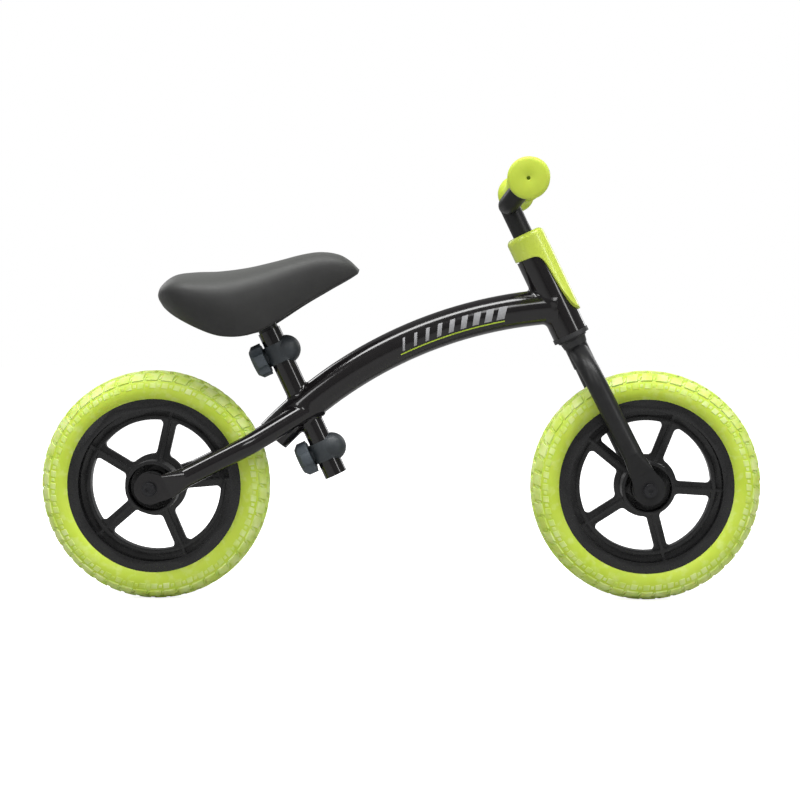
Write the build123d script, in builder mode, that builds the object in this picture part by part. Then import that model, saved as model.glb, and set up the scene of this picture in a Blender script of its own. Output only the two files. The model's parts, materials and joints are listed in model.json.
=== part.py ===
from build123d import *
from math import atan2, cos, degrees, hypot, radians, sin
import os

os.makedirs("parts", exist_ok=True)

# Child's balance bike, millimetres. X forward, Y to the rider's left, Z up.
# Origin on the ground, midway between the two axles.

# ---- driving dimensions ----
wheelbase = 542.0
tyre_radius = 127.0
tyre_width = 48.0
tyre_depth = 31.0  # tread to rim edge
bead_step = 0.4
sidewall_rise = 11.0  # rim edge to the widest part of the tyre
shoulder_drop = 9.0
shoulder_in = 4.5
tread_drop = 2.6
rim_width = 40.0
rim_band = 12.0  # radial height of the rim's outer band
rim_groove = 7.0
rim_ring = 4.5
ring_width = 16.0
web_width = 8.0
channel_depth = 8.0
channel_wall = 3.5
spoke_count = 5
spoke_width = 14.0
spoke_rib = 3.0
window_corner = 5.0
hub_disc_radius = 34.5
hub_boss_radius = 29.0
hub_boss_wall = 3.5
hub_boss_width = 76.0
hub_floor_width = 40.0
hub_width = 80.0
hub_core_radius = 18.0
hub_bore = 8.0
bearing_radius = 14.0
bearing_width = 8.0
front_spoke_angle = -3.5
rear_spoke_angle = 4.9

axle_radius = 6.0
spacer_radius = 9.5
dropout_gap = 92.0  # between the inner faces of the flattened tube ends
dropout_thick = 7.0
dropout_radius = 17.0
dropout_flat = 18.0  # axle to the crease above it
fork_crease_width = 27.0
stay_crease_width = 28.5
flatten_length = 24.0
axle_bolt_radius = 4.0
axle_bolt_head = 6.8
axle_bolt_head_height = 4.5
axle_bolt_reach = 22.0
bolt_socket_radius = 3.4
bolt_socket_depth = 2.6
washer_radius = 8.5
washer_thick = 1.2

steer_lean = 25.7  # degrees back from vertical
fork_offset = 2.6
crown_gap = 55.8  # tyre to the bottom of the head tube
head_tube_radius = 19.5
head_tube_wall = 2.1
head_tube_length = 93.5
lower_flange_radius = 20.5
lower_flange_height = 5.0
upper_flange_height = 2.5
bush_depth = 12.0
steerer_radius = 12.7
steerer_drop = 34.0  # below the head tube
race_radius = 16.5
race_gap = 0.5
race_height = 9.5
race_lip = 1.5
race_cone = 2.0
race_foot = 0.6
lock_ring_radius = 16.0
lock_ring_height = 5.7
stem_clamp_height = 13.0
stem_clamp_radius = 16.5
clamp_screw_radius = 2.5
leg_radius = 11.0
leg_wall = 1.8
leg_shoulder_y = 37.0
leg_foot_y = 52.0
leg_bend = 45.0
leg_root_drop = 15.0  # below the head tube
leg_shoulder_drop = 40.0
leg_shoulder_forward = 0.6
plate_overlap = 1.0  # how far the pressed plate runs into the cone behind it
crease_step = 0.4  # the plate is this much thicker than the cone's end
cone_inset = 0.3  # radial, the cone starts just under the tube's skin
cone_seam = 0.02
flat_round = 0.45  # edge radius of a flattened end, share of its thickness

cover_top = 125.3  # above the bottom of the head tube
cover_tip = 25.5
cover_rim_radius = head_tube_radius + 0.1
cover_front = 2.4  # how far the front face stands forward of the rim circle
cover_front_radius = head_tube_radius + 0.9
cover_back = 10.0  # the shield starts this far forward of the head tube's axis
cover_root_round = 6.0
cover_wall = 2.0
cover_cavity = head_tube_radius - head_tube_wall
cover_top_round = 8.0
cover_top_front = head_tube_radius + 1.0  # half width of the cap over the head tube
cover_shoulder = (17.4, 7.0)  # half width of the shield, and how far below the cap
cover_waist = (15.6, 42.0)
cover_taper = [(13.2, 61.0), (8.0, 71.0)]

main_tube_radius = 19.25
main_tube_wall = 2.0
main_tube_joint = 38.1  # above the bottom of the head tube
main_tube_rise = 3.34  # degrees, slope where it meets the head tube
main_tube_tail = 45.4  # length behind the seat tube, along the tube
plug_flange = 1.5
plug_depth = 8.0

seat_lean = 24.9
seat_tube_radius = 12.7
seat_tube_below = 82.7  # below the main tube's centreline
seat_tube_above = 93.3
seat_cross_gap = 59.3  # tyre to the crossing of the two tubes
seat_cross_angle = 27.6  # degrees above the rear axle
tube_wall = 1.55
post_slot = 8.8
post_insert = 120.0
seat_travel = 42.7
stem_insert = 72.0
bar_travel = 40.0

collar_wall = 2.6
collar_height = 22.0
collar_dome_radius = 16.0
collar_dome_forward = 8.8
collar_pad_width = 18.0
upper_bolt_drop = 27.0  # below the top of the seat tube
lower_bolt_rise = 30.0
clamp_bolt_radius = 4.0
clamp_bolt_head = 6.5
clamp_bolt_head_height = 4.5
knob_radius = 18.5
knob_thick = 15.0
knob_lobes = 5
knob_bore_depth = 12.0
knob_bevel = 4.5
knob_dip = 5.5  # centre of the dip between two lobes, outside the knob
knob_dip_radius = 8.0
bolt_end_gap = 1.0
insert_radius = 6.5
insert_height = 8.0

stay_radius = 11.1
stay_wall = 1.8
stay_root_y = 3.0
stay_bend = 60.0
stay_root_forward = 14.0  # ahead of the seat tube's crossing
stay_root_rise = 2.8
stay_crease_rise = 2.0  # the stay meets its flat a little above the axle
stay_shoulder_angle = 23.5  # degrees above the rear axle
stay_shoulder_reach = tyre_radius - 11.5
stay_shoulder_y = 39.0

bar_radius = 11.1
bar_height = 161.2  # crossbar above the bottom of the head tube
bar_middle = 20.0
bar_arm_y = 58.0
bar_arm_rise = 16.0
bar_arm_forward = 31.6
bar_end_y = 176.0
bar_end_rise = 11.8
bar_end_forward = 21.5
bar_inner_bend = 22.0
bar_outer_bend = 22.0
grip_length = 112.0
grip_barrel_radius = 15.5
grip_flange_radius = 21.0
grip_flange_thick = 5.0
grip_end_radius = 21.7
grip_end_thick = 8.0
grip_end_wall = 4.0
grip_hole_radius = 1.6

seat_width = 124.0
pan_pocket = 10.0  # open space under the pan
pan_height = 12.0  # underside of the seat pan above the seat tube
pan_thick = 4.0
bracket_thick = 3.8
bracket_length = 50.0
bracket_width = 34.0
bracket_corner = 6.0
seat_bolt_offset = 19.5
seat_bolt_radius = 3.0
seat_bolt_head = 5.0
seat_bolt_head_height = 3.2

# ---- clearances ----
slide_fit = 0.05  # radial, tube in tube
bearing_fit = 0.05  # radial, shaft in bearing or bush
hole_fit = 0.2  # radial, bolt in hole
side_gap = 0.3  # between faces that move past each other
stem_gap = 0.4  # radial, stem in the cover's hole

# ---- places worked out from the dimensions ----
rim_radius = tyre_radius - tyre_depth
band_inner = rim_radius - rim_band
ring_outer = band_inner - rim_groove
ring_inner = ring_outer - rim_ring
dropout_mid = dropout_gap / 2 + dropout_thick / 2
washer_face = dropout_gap / 2 + dropout_thick
bolt_face = washer_face + washer_thick
front_axle_x = wheelbase / 2
rear_axle_x = -wheelbase / 2


def leaned_plane(origin, lean):
    """Plane whose z runs up a tube that leans back, with x forward and y to the left."""
    a = radians(lean)
    return Plane(origin=origin, x_dir=(cos(a), 0, sin(a)), z_dir=(-sin(a), 0, cos(a)))


def side_of(plane):
    """Plane through the same axis, seen from the right: x forward, y along the tube."""
    return Plane(origin=plane.origin, x_dir=plane.x_dir, z_dir=-plane.y_dir)


def front_of(plane):
    """Plane through the same axis, seen from the front: x to the left, y along the tube."""
    return Plane(origin=plane.origin, x_dir=plane.y_dir, z_dir=plane.x_dir)


steer_slope = radians(steer_lean)
fork_length = tyre_radius + crown_gap
steer = leaned_plane(
    (
        front_axle_x - fork_length * sin(steer_slope) - fork_offset * cos(steer_slope),
        0,
        tyre_radius + fork_length * cos(steer_slope) - fork_offset * sin(steer_slope),
    ),
    steer_lean,
)

# The main tube is an arc that leaves the head tube at a set slope and passes through the seat tube.
head_joint = steer.from_local_coords((0, 0, main_tube_joint))
seat_reach = tyre_radius + seat_cross_gap
seat_cross = Vector(
    rear_axle_x + seat_reach * cos(radians(seat_cross_angle)),
    0,
    tyre_radius + seat_reach * sin(radians(seat_cross_angle)),
)
arc_normal = Vector(sin(radians(main_tube_rise)), 0, -cos(radians(main_tube_rise)))
chord = seat_cross - head_joint
arc_radius = chord.length**2 / (2 * arc_normal.dot(chord))
arc_centre = head_joint + arc_normal * arc_radius
arc_front = degrees(atan2(head_joint.Z - arc_centre.Z, head_joint.X - arc_centre.X))
arc_seat = degrees(atan2(seat_cross.Z - arc_centre.Z, seat_cross.X - arc_centre.X))
arc_rear = arc_seat + degrees(main_tube_tail / arc_radius)

seat_slope = radians(seat_lean)
seat_tube_length = seat_tube_below + seat_tube_above
seat = leaned_plane(
    (
        seat_cross.X + seat_tube_below * sin(seat_slope),
        0,
        seat_cross.Z - seat_tube_below * cos(seat_slope),
    ),
    seat_lean,
)
upper_bolt_height = seat_tube_length - upper_bolt_drop
tube_bore = seat_tube_radius - tube_wall
post_radius = tube_bore - slide_fit


def arc_plane(angle):
    """Cross-section plane of the main tube, x outward from the arc's centre, z towards the rear."""
    a = radians(angle)
    out = Vector(cos(a), 0, sin(a))
    return Plane(
        origin=arc_centre + out * arc_radius, x_dir=out, z_dir=(-sin(a), 0, cos(a))
    )


def cylinder_in(plane, start, length, radius, mode=Mode.ADD):
    """Round bar on a plane's z axis, from start, inside the current part."""
    with BuildSketch(plane.offset(start)) as section:
        Circle(radius)
    extrude(section.sketch, amount=length, mode=mode)


def tube_in(plane, start, length, outer, inner):
    """Tube on a plane's z axis, from start, inside the current part."""
    with BuildSketch(plane.offset(start)) as section:
        Circle(outer)
        Circle(inner, mode=Mode.SUBTRACT)
    extrude(section.sketch, amount=length)


def main_tube_bar(radius, mode):
    """A solid bar along the main tube's arc, inside the current part."""
    with BuildSketch(arc_plane(arc_rear)) as section:
        Circle(radius)
    sweep_axis = Axis(arc_centre, (0, 1, 0))
    revolve(section.sketch, axis=sweep_axis, revolution_arc=arc_rear - arc_front, mode=mode)


def save(part, name):
    part.label = name
    export_step(part, f"parts/{name}.step")


# ---- frame ----
with BuildPart() as main_tube:
    main_tube_bar(main_tube_radius, Mode.ADD)
    main_tube_bar(main_tube_radius - main_tube_wall, Mode.SUBTRACT)
    cylinder_in(steer, -steerer_drop, 2 * cover_top, head_tube_radius, Mode.SUBTRACT)
    cylinder_in(seat, 0, seat_tube_length, seat_tube_radius, Mode.SUBTRACT)
save(main_tube.part, "main_tube")

with BuildPart() as rear_end_plug:
    cylinder_in(arc_plane(arc_rear), 0, plug_flange, main_tube_radius)
    plug_radius = main_tube_radius - main_tube_wall - hole_fit
    cylinder_in(arc_plane(arc_rear), -plug_depth, plug_depth, plug_radius)
save(rear_end_plug.part, "rear_end_plug")

with BuildPart() as head_tube:
    tube_in(
        steer,
        lower_flange_height,
        head_tube_length,
        head_tube_radius,
        head_tube_radius - head_tube_wall,
    )
save(head_tube.part, "head_tube")
head_top = lower_flange_height + head_tube_length

with BuildPart() as seat_tube:
    tube_in(seat, 0, seat_tube_length, seat_tube_radius, tube_bore)
    for height in (lower_bolt_rise, upper_bolt_height):
        with BuildSketch(front_of(seat)):
            with Locations((0, height)):
                Circle(clamp_bolt_radius + hole_fit)
        extrude(amount=2 * seat_tube_radius, both=True, mode=Mode.SUBTRACT)
save(seat_tube.part, "seat_tube")


def flattened_end(tip, crease, root, tip_radius, width, y):
    """Tube end pressed flat: a cone from the round tube to the crease, then a rounded plate."""
    along = (root - crease).normalized()
    flat_crease = Vector(crease.X, y, crease.Z)
    flat_along = Vector(along.X, 0, along.Z).normalized()
    across = Vector(-flat_along.Z, 0, flat_along.X)
    cone_start = Plane(origin=root + along * plate_overlap, x_dir=across, z_dir=-along)
    cone_end = Plane(origin=flat_crease, x_dir=across, z_dir=-flat_along)
    cone_thick = dropout_thick - crease_step
    with BuildSketch(cone_start) as round_end:
        Rectangle(2 * (tip_radius - cone_inset), 2 * (tip_radius - cone_inset))
        fillet(vertices(), tip_radius - cone_inset - cone_seam)
    with BuildSketch(cone_end) as flat_end:
        RectangleRounded(width, cone_thick, cone_thick * flat_round)
    loft([round_end.sketch, flat_end.sketch], ruled=True)
    plate = Plane(
        origin=(tip.X, y - dropout_thick / 2, tip.Z), x_dir=(1, 0, 0), z_dir=(0, 1, 0)
    )
    inside_cone = flat_crease + flat_along * plate_overlap
    half = width / 2 - plate_overlap
    ends = [plate.to_local_coords(inside_cone + across * (side * half)) for side in (-1, 1)]
    with BuildSketch(plate) as outline:
        with BuildLine() as edges:
            Line((ends[0].X, ends[0].Y), (ends[1].X, ends[1].Y))
            CenterArc((0, 0), dropout_radius, 0, 360)
        make_hull(edges.edges())
    extrude(outline.sketch, amount=dropout_thick)
    cylinder_in(plate, 0, dropout_thick, axle_bolt_radius + hole_fit, Mode.SUBTRACT)


def swept_tube(points, bend, outer, inner):
    """Bent tube along a route of straight runs and arcs, inside the current part."""
    with BuildLine() as route:
        FilletPolyline(*points, radius=bend)
    with BuildSketch(Plane(origin=route.line @ 0, z_dir=route.line % 0)) as section:
        Circle(outer)
        Circle(inner, mode=Mode.SUBTRACT)
    sweep(section.sketch, path=route.line)


rear_axle = Vector(rear_axle_x, 0, tyre_radius)
front_axle = Vector(front_axle_x, 0, tyre_radius)
stay_slope = radians(stay_shoulder_angle)
for name, side in (("left_stay", 1), ("right_stay", -1)):
    root = Vector(
        seat_cross.X + stay_root_forward, side * stay_root_y, seat_cross.Z + stay_root_rise
    )
    shoulder = Vector(
        rear_axle.X + stay_shoulder_reach * cos(stay_slope),
        side * stay_shoulder_y,
        rear_axle.Z + stay_shoulder_reach * sin(stay_slope),
    )
    crease = Vector(
        rear_axle.X + dropout_flat, side * leg_foot_y, rear_axle.Z + stay_crease_rise
    )
    foot = crease + (shoulder - crease).normalized() * flatten_length
    with BuildPart() as stay:
        swept_tube((root, shoulder, foot), stay_bend, stay_radius, stay_radius - stay_wall)
        main_tube_bar(main_tube_radius, Mode.SUBTRACT)
        cylinder_in(arc_plane(arc_rear), 0, plug_flange, main_tube_radius, Mode.SUBTRACT)
        flattened_end(
            rear_axle, crease, foot, stay_radius, stay_crease_width, side * dropout_mid
        )
    save(stay.part, name)

# ---- headset and cover ----
with BuildPart() as lower_bush:
    bore = steerer_radius + bearing_fit
    tube_in(steer, 0, lower_flange_height, lower_flange_radius, bore)
    tube_in(steer, lower_flange_height, bush_depth, head_tube_radius - head_tube_wall, bore)
save(lower_bush.part, "lower_bush")

with BuildPart() as upper_bush:
    bore = steerer_radius + bearing_fit
    tube_in(steer, head_top - bush_depth, bush_depth, head_tube_radius - head_tube_wall, bore)
    tube_in(steer, head_top, upper_flange_height, cover_cavity - side_gap, bore)
save(upper_bush.part, "upper_bush")

with BuildPart() as head_cover:
    rim = head_top + side_gap
    waist = (cover_waist[0], rim - cover_waist[1])
    taper = [(half, rim - drop) for half, drop in cover_taper]
    with BuildSketch(steer.offset(cover_tip)):
        with BuildLine():
            CenterArc((0, 0), cover_rim_radius, 0, 360)
            CenterArc((cover_front, 0), cover_front_radius, 0, 360)
        make_hull()
    extrude(amount=cover_top - cover_tip)
    cap = head_cover.faces().sort_by(Axis(steer.origin, steer.z_dir))[-1]
    fillet(cap.edges(), cover_top_round)
    with BuildSketch(front_of(steer)):
        with BuildLine():
            Polyline(
                (0, cover_top),
                (2 * cover_top_front, cover_top),
                (2 * cover_top_front, rim),
                (cover_top_front, rim),
                (cover_shoulder[0], rim - cover_shoulder[1]),
                waist,
            )
            Spline(waist, *taper, (0, cover_tip), tangents=((-0.06, -1), (-1, 0)))
            mirror(about=Plane.YZ)
        make_face()
    extrude(amount=2 * cover_rim_radius, both=True, mode=Mode.INTERSECT)
    cylinder_in(steer, 0, rim, head_tube_radius + slide_fit, Mode.SUBTRACT)
    behind = -2 * cover_rim_radius
    root_start = (cover_back, rim - cover_root_round)
    root_end = (cover_back - cover_root_round, rim)
    with BuildSketch(side_of(steer)):
        with BuildLine():
            Polyline(root_end, (behind, rim), (behind, 0), (cover_back, 0), root_start)
            RadiusArc(root_start, root_end, -cover_root_round)
        make_face()
    extrude(amount=2 * cover_rim_radius, both=True, mode=Mode.SUBTRACT)
    cylinder_in(steer, head_top, cover_top - cover_wall - head_top, cover_cavity, Mode.SUBTRACT)
    cylinder_in(steer, rim, cover_top, bar_radius + stem_gap, Mode.SUBTRACT)
save(head_cover.part, "head_cover")

# ---- fork ----
steerer_bore = bar_radius + slide_fit
clamp_base = head_top + upper_flange_height + side_gap + lock_ring_height
steerer_top = clamp_base + stem_clamp_height
with BuildPart() as steerer:
    tube_in(steer, -steerer_drop, steerer_drop + steerer_top, steerer_radius, steerer_bore)
save(steerer.part, "steerer")

with BuildPart() as crown_race:
    with BuildSketch(side_of(steer)):
        with BuildLine():
            Polyline(
                (steerer_radius, -race_gap),
                (race_radius, -race_gap),
                (race_radius, -race_gap - race_lip),
                (steerer_radius + race_cone, -race_gap - race_lip - 1.0),
                (steerer_radius + race_foot, -race_gap - race_height),
                (steerer_radius, -race_gap - race_height),
                close=True,
            )
        make_face()
    revolve(axis=Axis(steer.origin, steer.z_dir))
save(crown_race.part, "crown_race")

with BuildPart() as lock_ring:
    ring_base = head_top + upper_flange_height + side_gap
    tube_in(steer, ring_base, lock_ring_height, lock_ring_radius, steerer_radius)
save(lock_ring.part, "lock_ring")

with BuildPart() as stem_clamp:
    tube_in(steer, clamp_base, stem_clamp_height, stem_clamp_radius, steerer_radius)
    screw_height = clamp_base + stem_clamp_height / 2
    with BuildSketch(front_of(steer)):
        with Locations((0, screw_height)):
            Circle(clamp_screw_radius)
    extrude(amount=-2 * lock_ring_radius, mode=Mode.SUBTRACT)
save(stem_clamp.part, "stem_clamp")

with BuildPart() as stem_clamp_screw:
    with BuildSketch(front_of(steer).offset(-steerer_radius - slide_fit)):
        with Locations((0, screw_height)):
            Circle(clamp_screw_radius)
    extrude(amount=-(lock_ring_radius - steerer_radius))
save(stem_clamp_screw.part, "stem_clamp_screw")

for name, side in (("left_fork_leg", 1), ("right_fork_leg", -1)):
    root = steer.from_local_coords((0, 0, -leg_root_drop))
    shoulder = steer.from_local_coords(
        (leg_shoulder_forward, side * leg_shoulder_y, -leg_shoulder_drop)
    )
    crease = steer.from_local_coords(
        (fork_offset, side * leg_foot_y, dropout_flat - fork_length)
    )
    foot = crease + (shoulder - crease).normalized() * flatten_length
    with BuildPart() as leg:
        swept_tube((root, shoulder, foot), leg_bend, leg_radius, leg_radius - leg_wall)
        cylinder_in(steer, -2 * steerer_drop, 4 * steerer_drop, steerer_radius, Mode.SUBTRACT)
        flattened_end(
            front_axle, crease, foot, leg_radius, fork_crease_width, side * dropout_mid
        )
    save(leg.part, name)



# ---- handlebar ----
def bar_point(forward, side_y, rise):
    return steer.from_local_coords((forward, side_y, bar_height + rise))


bar_route = [
    bar_point(bar_end_forward, -bar_end_y, bar_end_rise),
    bar_point(bar_arm_forward, -bar_arm_y, bar_arm_rise),
    bar_point(0, -bar_middle, 0),
    bar_point(0, bar_middle, 0),
    bar_point(bar_arm_forward, bar_arm_y, bar_arm_rise),
    bar_point(bar_end_forward, bar_end_y, bar_end_rise),
]
with BuildPart() as crossbar:
    bends = [bar_outer_bend, bar_inner_bend, bar_inner_bend, bar_outer_bend]
    swept_tube(bar_route, bends, bar_radius, bar_radius - tube_wall)
save(crossbar.part, "crossbar")

with BuildPart() as stem:
    stem_bottom = cover_top - stem_insert
    tube_in(steer, stem_bottom, bar_height - stem_bottom, bar_radius, bar_radius - tube_wall)
    with BuildSketch(side_of(steer)):
        with Locations((0, bar_height)):
            Circle(bar_radius)
    extrude(amount=2 * bar_radius, both=True, mode=Mode.SUBTRACT)
save(stem.part, "stem")

for name, end, inner in (
    ("right_grip", bar_route[0], bar_route[1]),
    ("left_grip", bar_route[-1], bar_route[-2]),
):
    grip_plane = Plane(origin=end, z_dir=(end - inner).normalized())
    with BuildPart() as grip:
        start = grip_end_wall - grip_length
        tube_in(grip_plane, start, grip_length, grip_barrel_radius, bar_radius)
        cylinder_in(grip_plane, start, grip_flange_thick, grip_flange_radius)
        cylinder_in(grip_plane, grip_end_wall - grip_end_thick, grip_end_thick, grip_end_radius)
        cylinder_in(grip_plane, start, grip_length - grip_end_wall, bar_radius, Mode.SUBTRACT)
        cylinder_in(grip_plane, -1, grip_end_wall + 2, grip_hole_radius, Mode.SUBTRACT)
    save(grip.part, name)

# ---- seat post clamps ----
knob_face = -(seat_tube_radius + collar_wall + side_gap)
bolt_tip = knob_face - knob_bore_depth + bolt_end_gap
for place, height in (("lower", lower_bolt_rise), ("upper", upper_bolt_height)):
    level = seat.offset(height)
    across = Plane(origin=level.origin, x_dir=level.y_dir, z_dir=level.x_dir)
    with BuildPart() as collar:
        cylinder_in(level, -collar_height / 2, collar_height, seat_tube_radius + collar_wall)
        with Locations(level.location * Location((collar_dome_forward, 0, 0))):
            Sphere(collar_dome_radius)
        with BuildSketch(across.offset(-seat_tube_radius - collar_wall)):
            Circle(collar_pad_width / 2)
        extrude(amount=seat_tube_radius)
        cylinder_in(level, -collar_height, 2 * collar_height, seat_tube_radius, Mode.SUBTRACT)
        hole = clamp_bolt_radius + hole_fit
        cylinder_in(across, -2 * knob_radius, 2 * knob_radius, hole, Mode.SUBTRACT)
        pocket = seat_tube_radius + clamp_bolt_head_height + hole_fit
        cylinder_in(across, 0, pocket, clamp_bolt_head + hole_fit, Mode.SUBTRACT)
    save(collar.part, f"{place}_clamp_collar")
    with BuildPart() as clamp_bolt:
        cylinder_in(across, bolt_tip, seat_tube_radius - bolt_tip, clamp_bolt_radius)
        cylinder_in(across, seat_tube_radius, clamp_bolt_head_height, clamp_bolt_head)
    save(clamp_bolt.part, f"{place}_clamp_bolt")
    with BuildPart() as knob:
        cylinder_in(across, knob_face, -knob_thick, knob_radius)
        chamfer(knob.faces().sort_by(Axis(across.origin, across.z_dir))[0].edges(), knob_bevel)
        with BuildSketch(across.offset(knob_face)):
            with PolarLocations(knob_radius + knob_dip, knob_lobes):
                Circle(knob_dip_radius)
        extrude(amount=-knob_thick, mode=Mode.SUBTRACT)
        cylinder_in(
            across, knob_face, -knob_bore_depth, clamp_bolt_radius + bearing_fit, Mode.SUBTRACT
        )
        cylinder_in(across, knob_face, -insert_height, insert_radius, Mode.SUBTRACT)
    save(knob.part, f"{place}_knob")
    with BuildPart() as insert:
        cylinder_in(across, knob_face, -insert_height, insert_radius)
        cylinder_in(
            across, knob_face, -insert_height, clamp_bolt_radius + bearing_fit, Mode.SUBTRACT
        )
    save(insert.part, f"{place}_knob_insert")

# ---- seat ----
pan_base = seat_tube_length + pan_height
bracket_base = pan_base - bracket_thick
post_bottom = seat_tube_length - post_insert
with BuildPart() as seat_post:
    tube_in(seat, post_bottom, bracket_base - post_bottom, post_radius, post_radius - tube_wall)
    with BuildSketch(front_of(seat)):
        with Locations((0, upper_bolt_height - seat_travel / 2)):
            SlotCenterToCenter(seat_travel, post_slot, rotation=90)
    extrude(amount=2 * post_radius, both=True, mode=Mode.SUBTRACT)
save(seat_post.part, "seat_post")

seat_bolt_places = [(seat_bolt_offset, 0), (-seat_bolt_offset, 0)]
with BuildPart() as seat_bracket:
    with BuildSketch(seat.offset(bracket_base)):
        RectangleRounded(bracket_length, bracket_width, bracket_corner)
        with Locations(*seat_bolt_places):
            Circle(seat_bolt_radius + hole_fit, mode=Mode.SUBTRACT)
    extrude(amount=bracket_thick)
save(seat_bracket.part, "seat_bracket")

with BuildPart() as seat_bolts:
    with BuildSketch(seat.offset(bracket_base)):
        with Locations(*seat_bolt_places):
            Circle(seat_bolt_radius)
    extrude(amount=bracket_thick + pan_thick)
    with BuildSketch(seat.offset(bracket_base - seat_bolt_head_height)):
        with Locations(*seat_bolt_places):
            Circle(seat_bolt_head)
    extrude(amount=seat_bolt_head_height)
save(seat_bolts.part, "seat_bolts")

# Seat outline in the seat tube's side plane: forward of the tube's axis, and height above its lower end.
seat_top = [
    (-94.4, 258.5), (-84.0, 271.0), (-66.7, 274.3), (-46.0, 268.0), (-21.5, 257.7), (8.4, 248.2),
    (39.4, 241.6), (70.9, 235.7), (90.0, 230.5), (106.0, 221.0), (119.4, 194.5),
]
seat_under = [
    (114.8, 191.0), (47.3, 184.9), (10.8, 179.9), (-6.6, 178.6), (-22.8, 181.2), (-36.8, 186.5),
    (-50.5, 195.0), (-65.7, 210.0), (-83.9, 232.6), (-94.4, 258.5),
]
seat_plan = [
    (-98, 0), (-92, 29), (-74, 52), (-48, 62), (-20, 59), (10, 48), (45, 37), (80, 30), (104, 22),
    (117, 9), (120.5, 0),
]
pan_plan = [(-30, 0), (-28, 30), (-10, 38), (14, 35), (32, 26), (38, 12), (39, 0)]


def mirrored_outline(points):
    """Closed outline from its left half, inside the current sketch."""
    with BuildLine() as outline:
        Spline(*points, tangents=((0, 1), (0, -1)))
        mirror(about=Plane.XZ)
    make_face(outline.edges())


with BuildPart() as seat_pan:
    with BuildSketch(seat.offset(pan_base)):
        mirrored_outline(pan_plan)
        with Locations(*seat_bolt_places):
            Circle(seat_bolt_radius + hole_fit, mode=Mode.SUBTRACT)
    extrude(amount=pan_thick)
save(seat_pan.part, "seat_pan")

with BuildPart() as seat_cover:
    with BuildSketch(side_of(seat)):
        with BuildLine():
            Spline(*seat_top)
            Line(seat_top[-1], seat_under[0])
            Spline(*seat_under)
        make_face()
    extrude(amount=seat_width, both=True)
    with BuildSketch(seat):
        mirrored_outline(seat_plan)
    extrude(amount=2 * seat_tube_length, mode=Mode.INTERSECT)
    with BuildSketch(seat.offset(pan_base - 2 * pan_pocket)):
        mirrored_outline(pan_plan)
    extrude(amount=2 * pan_pocket + pan_thick, mode=Mode.SUBTRACT)
save(seat_cover.part, "seat_cover")

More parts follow.
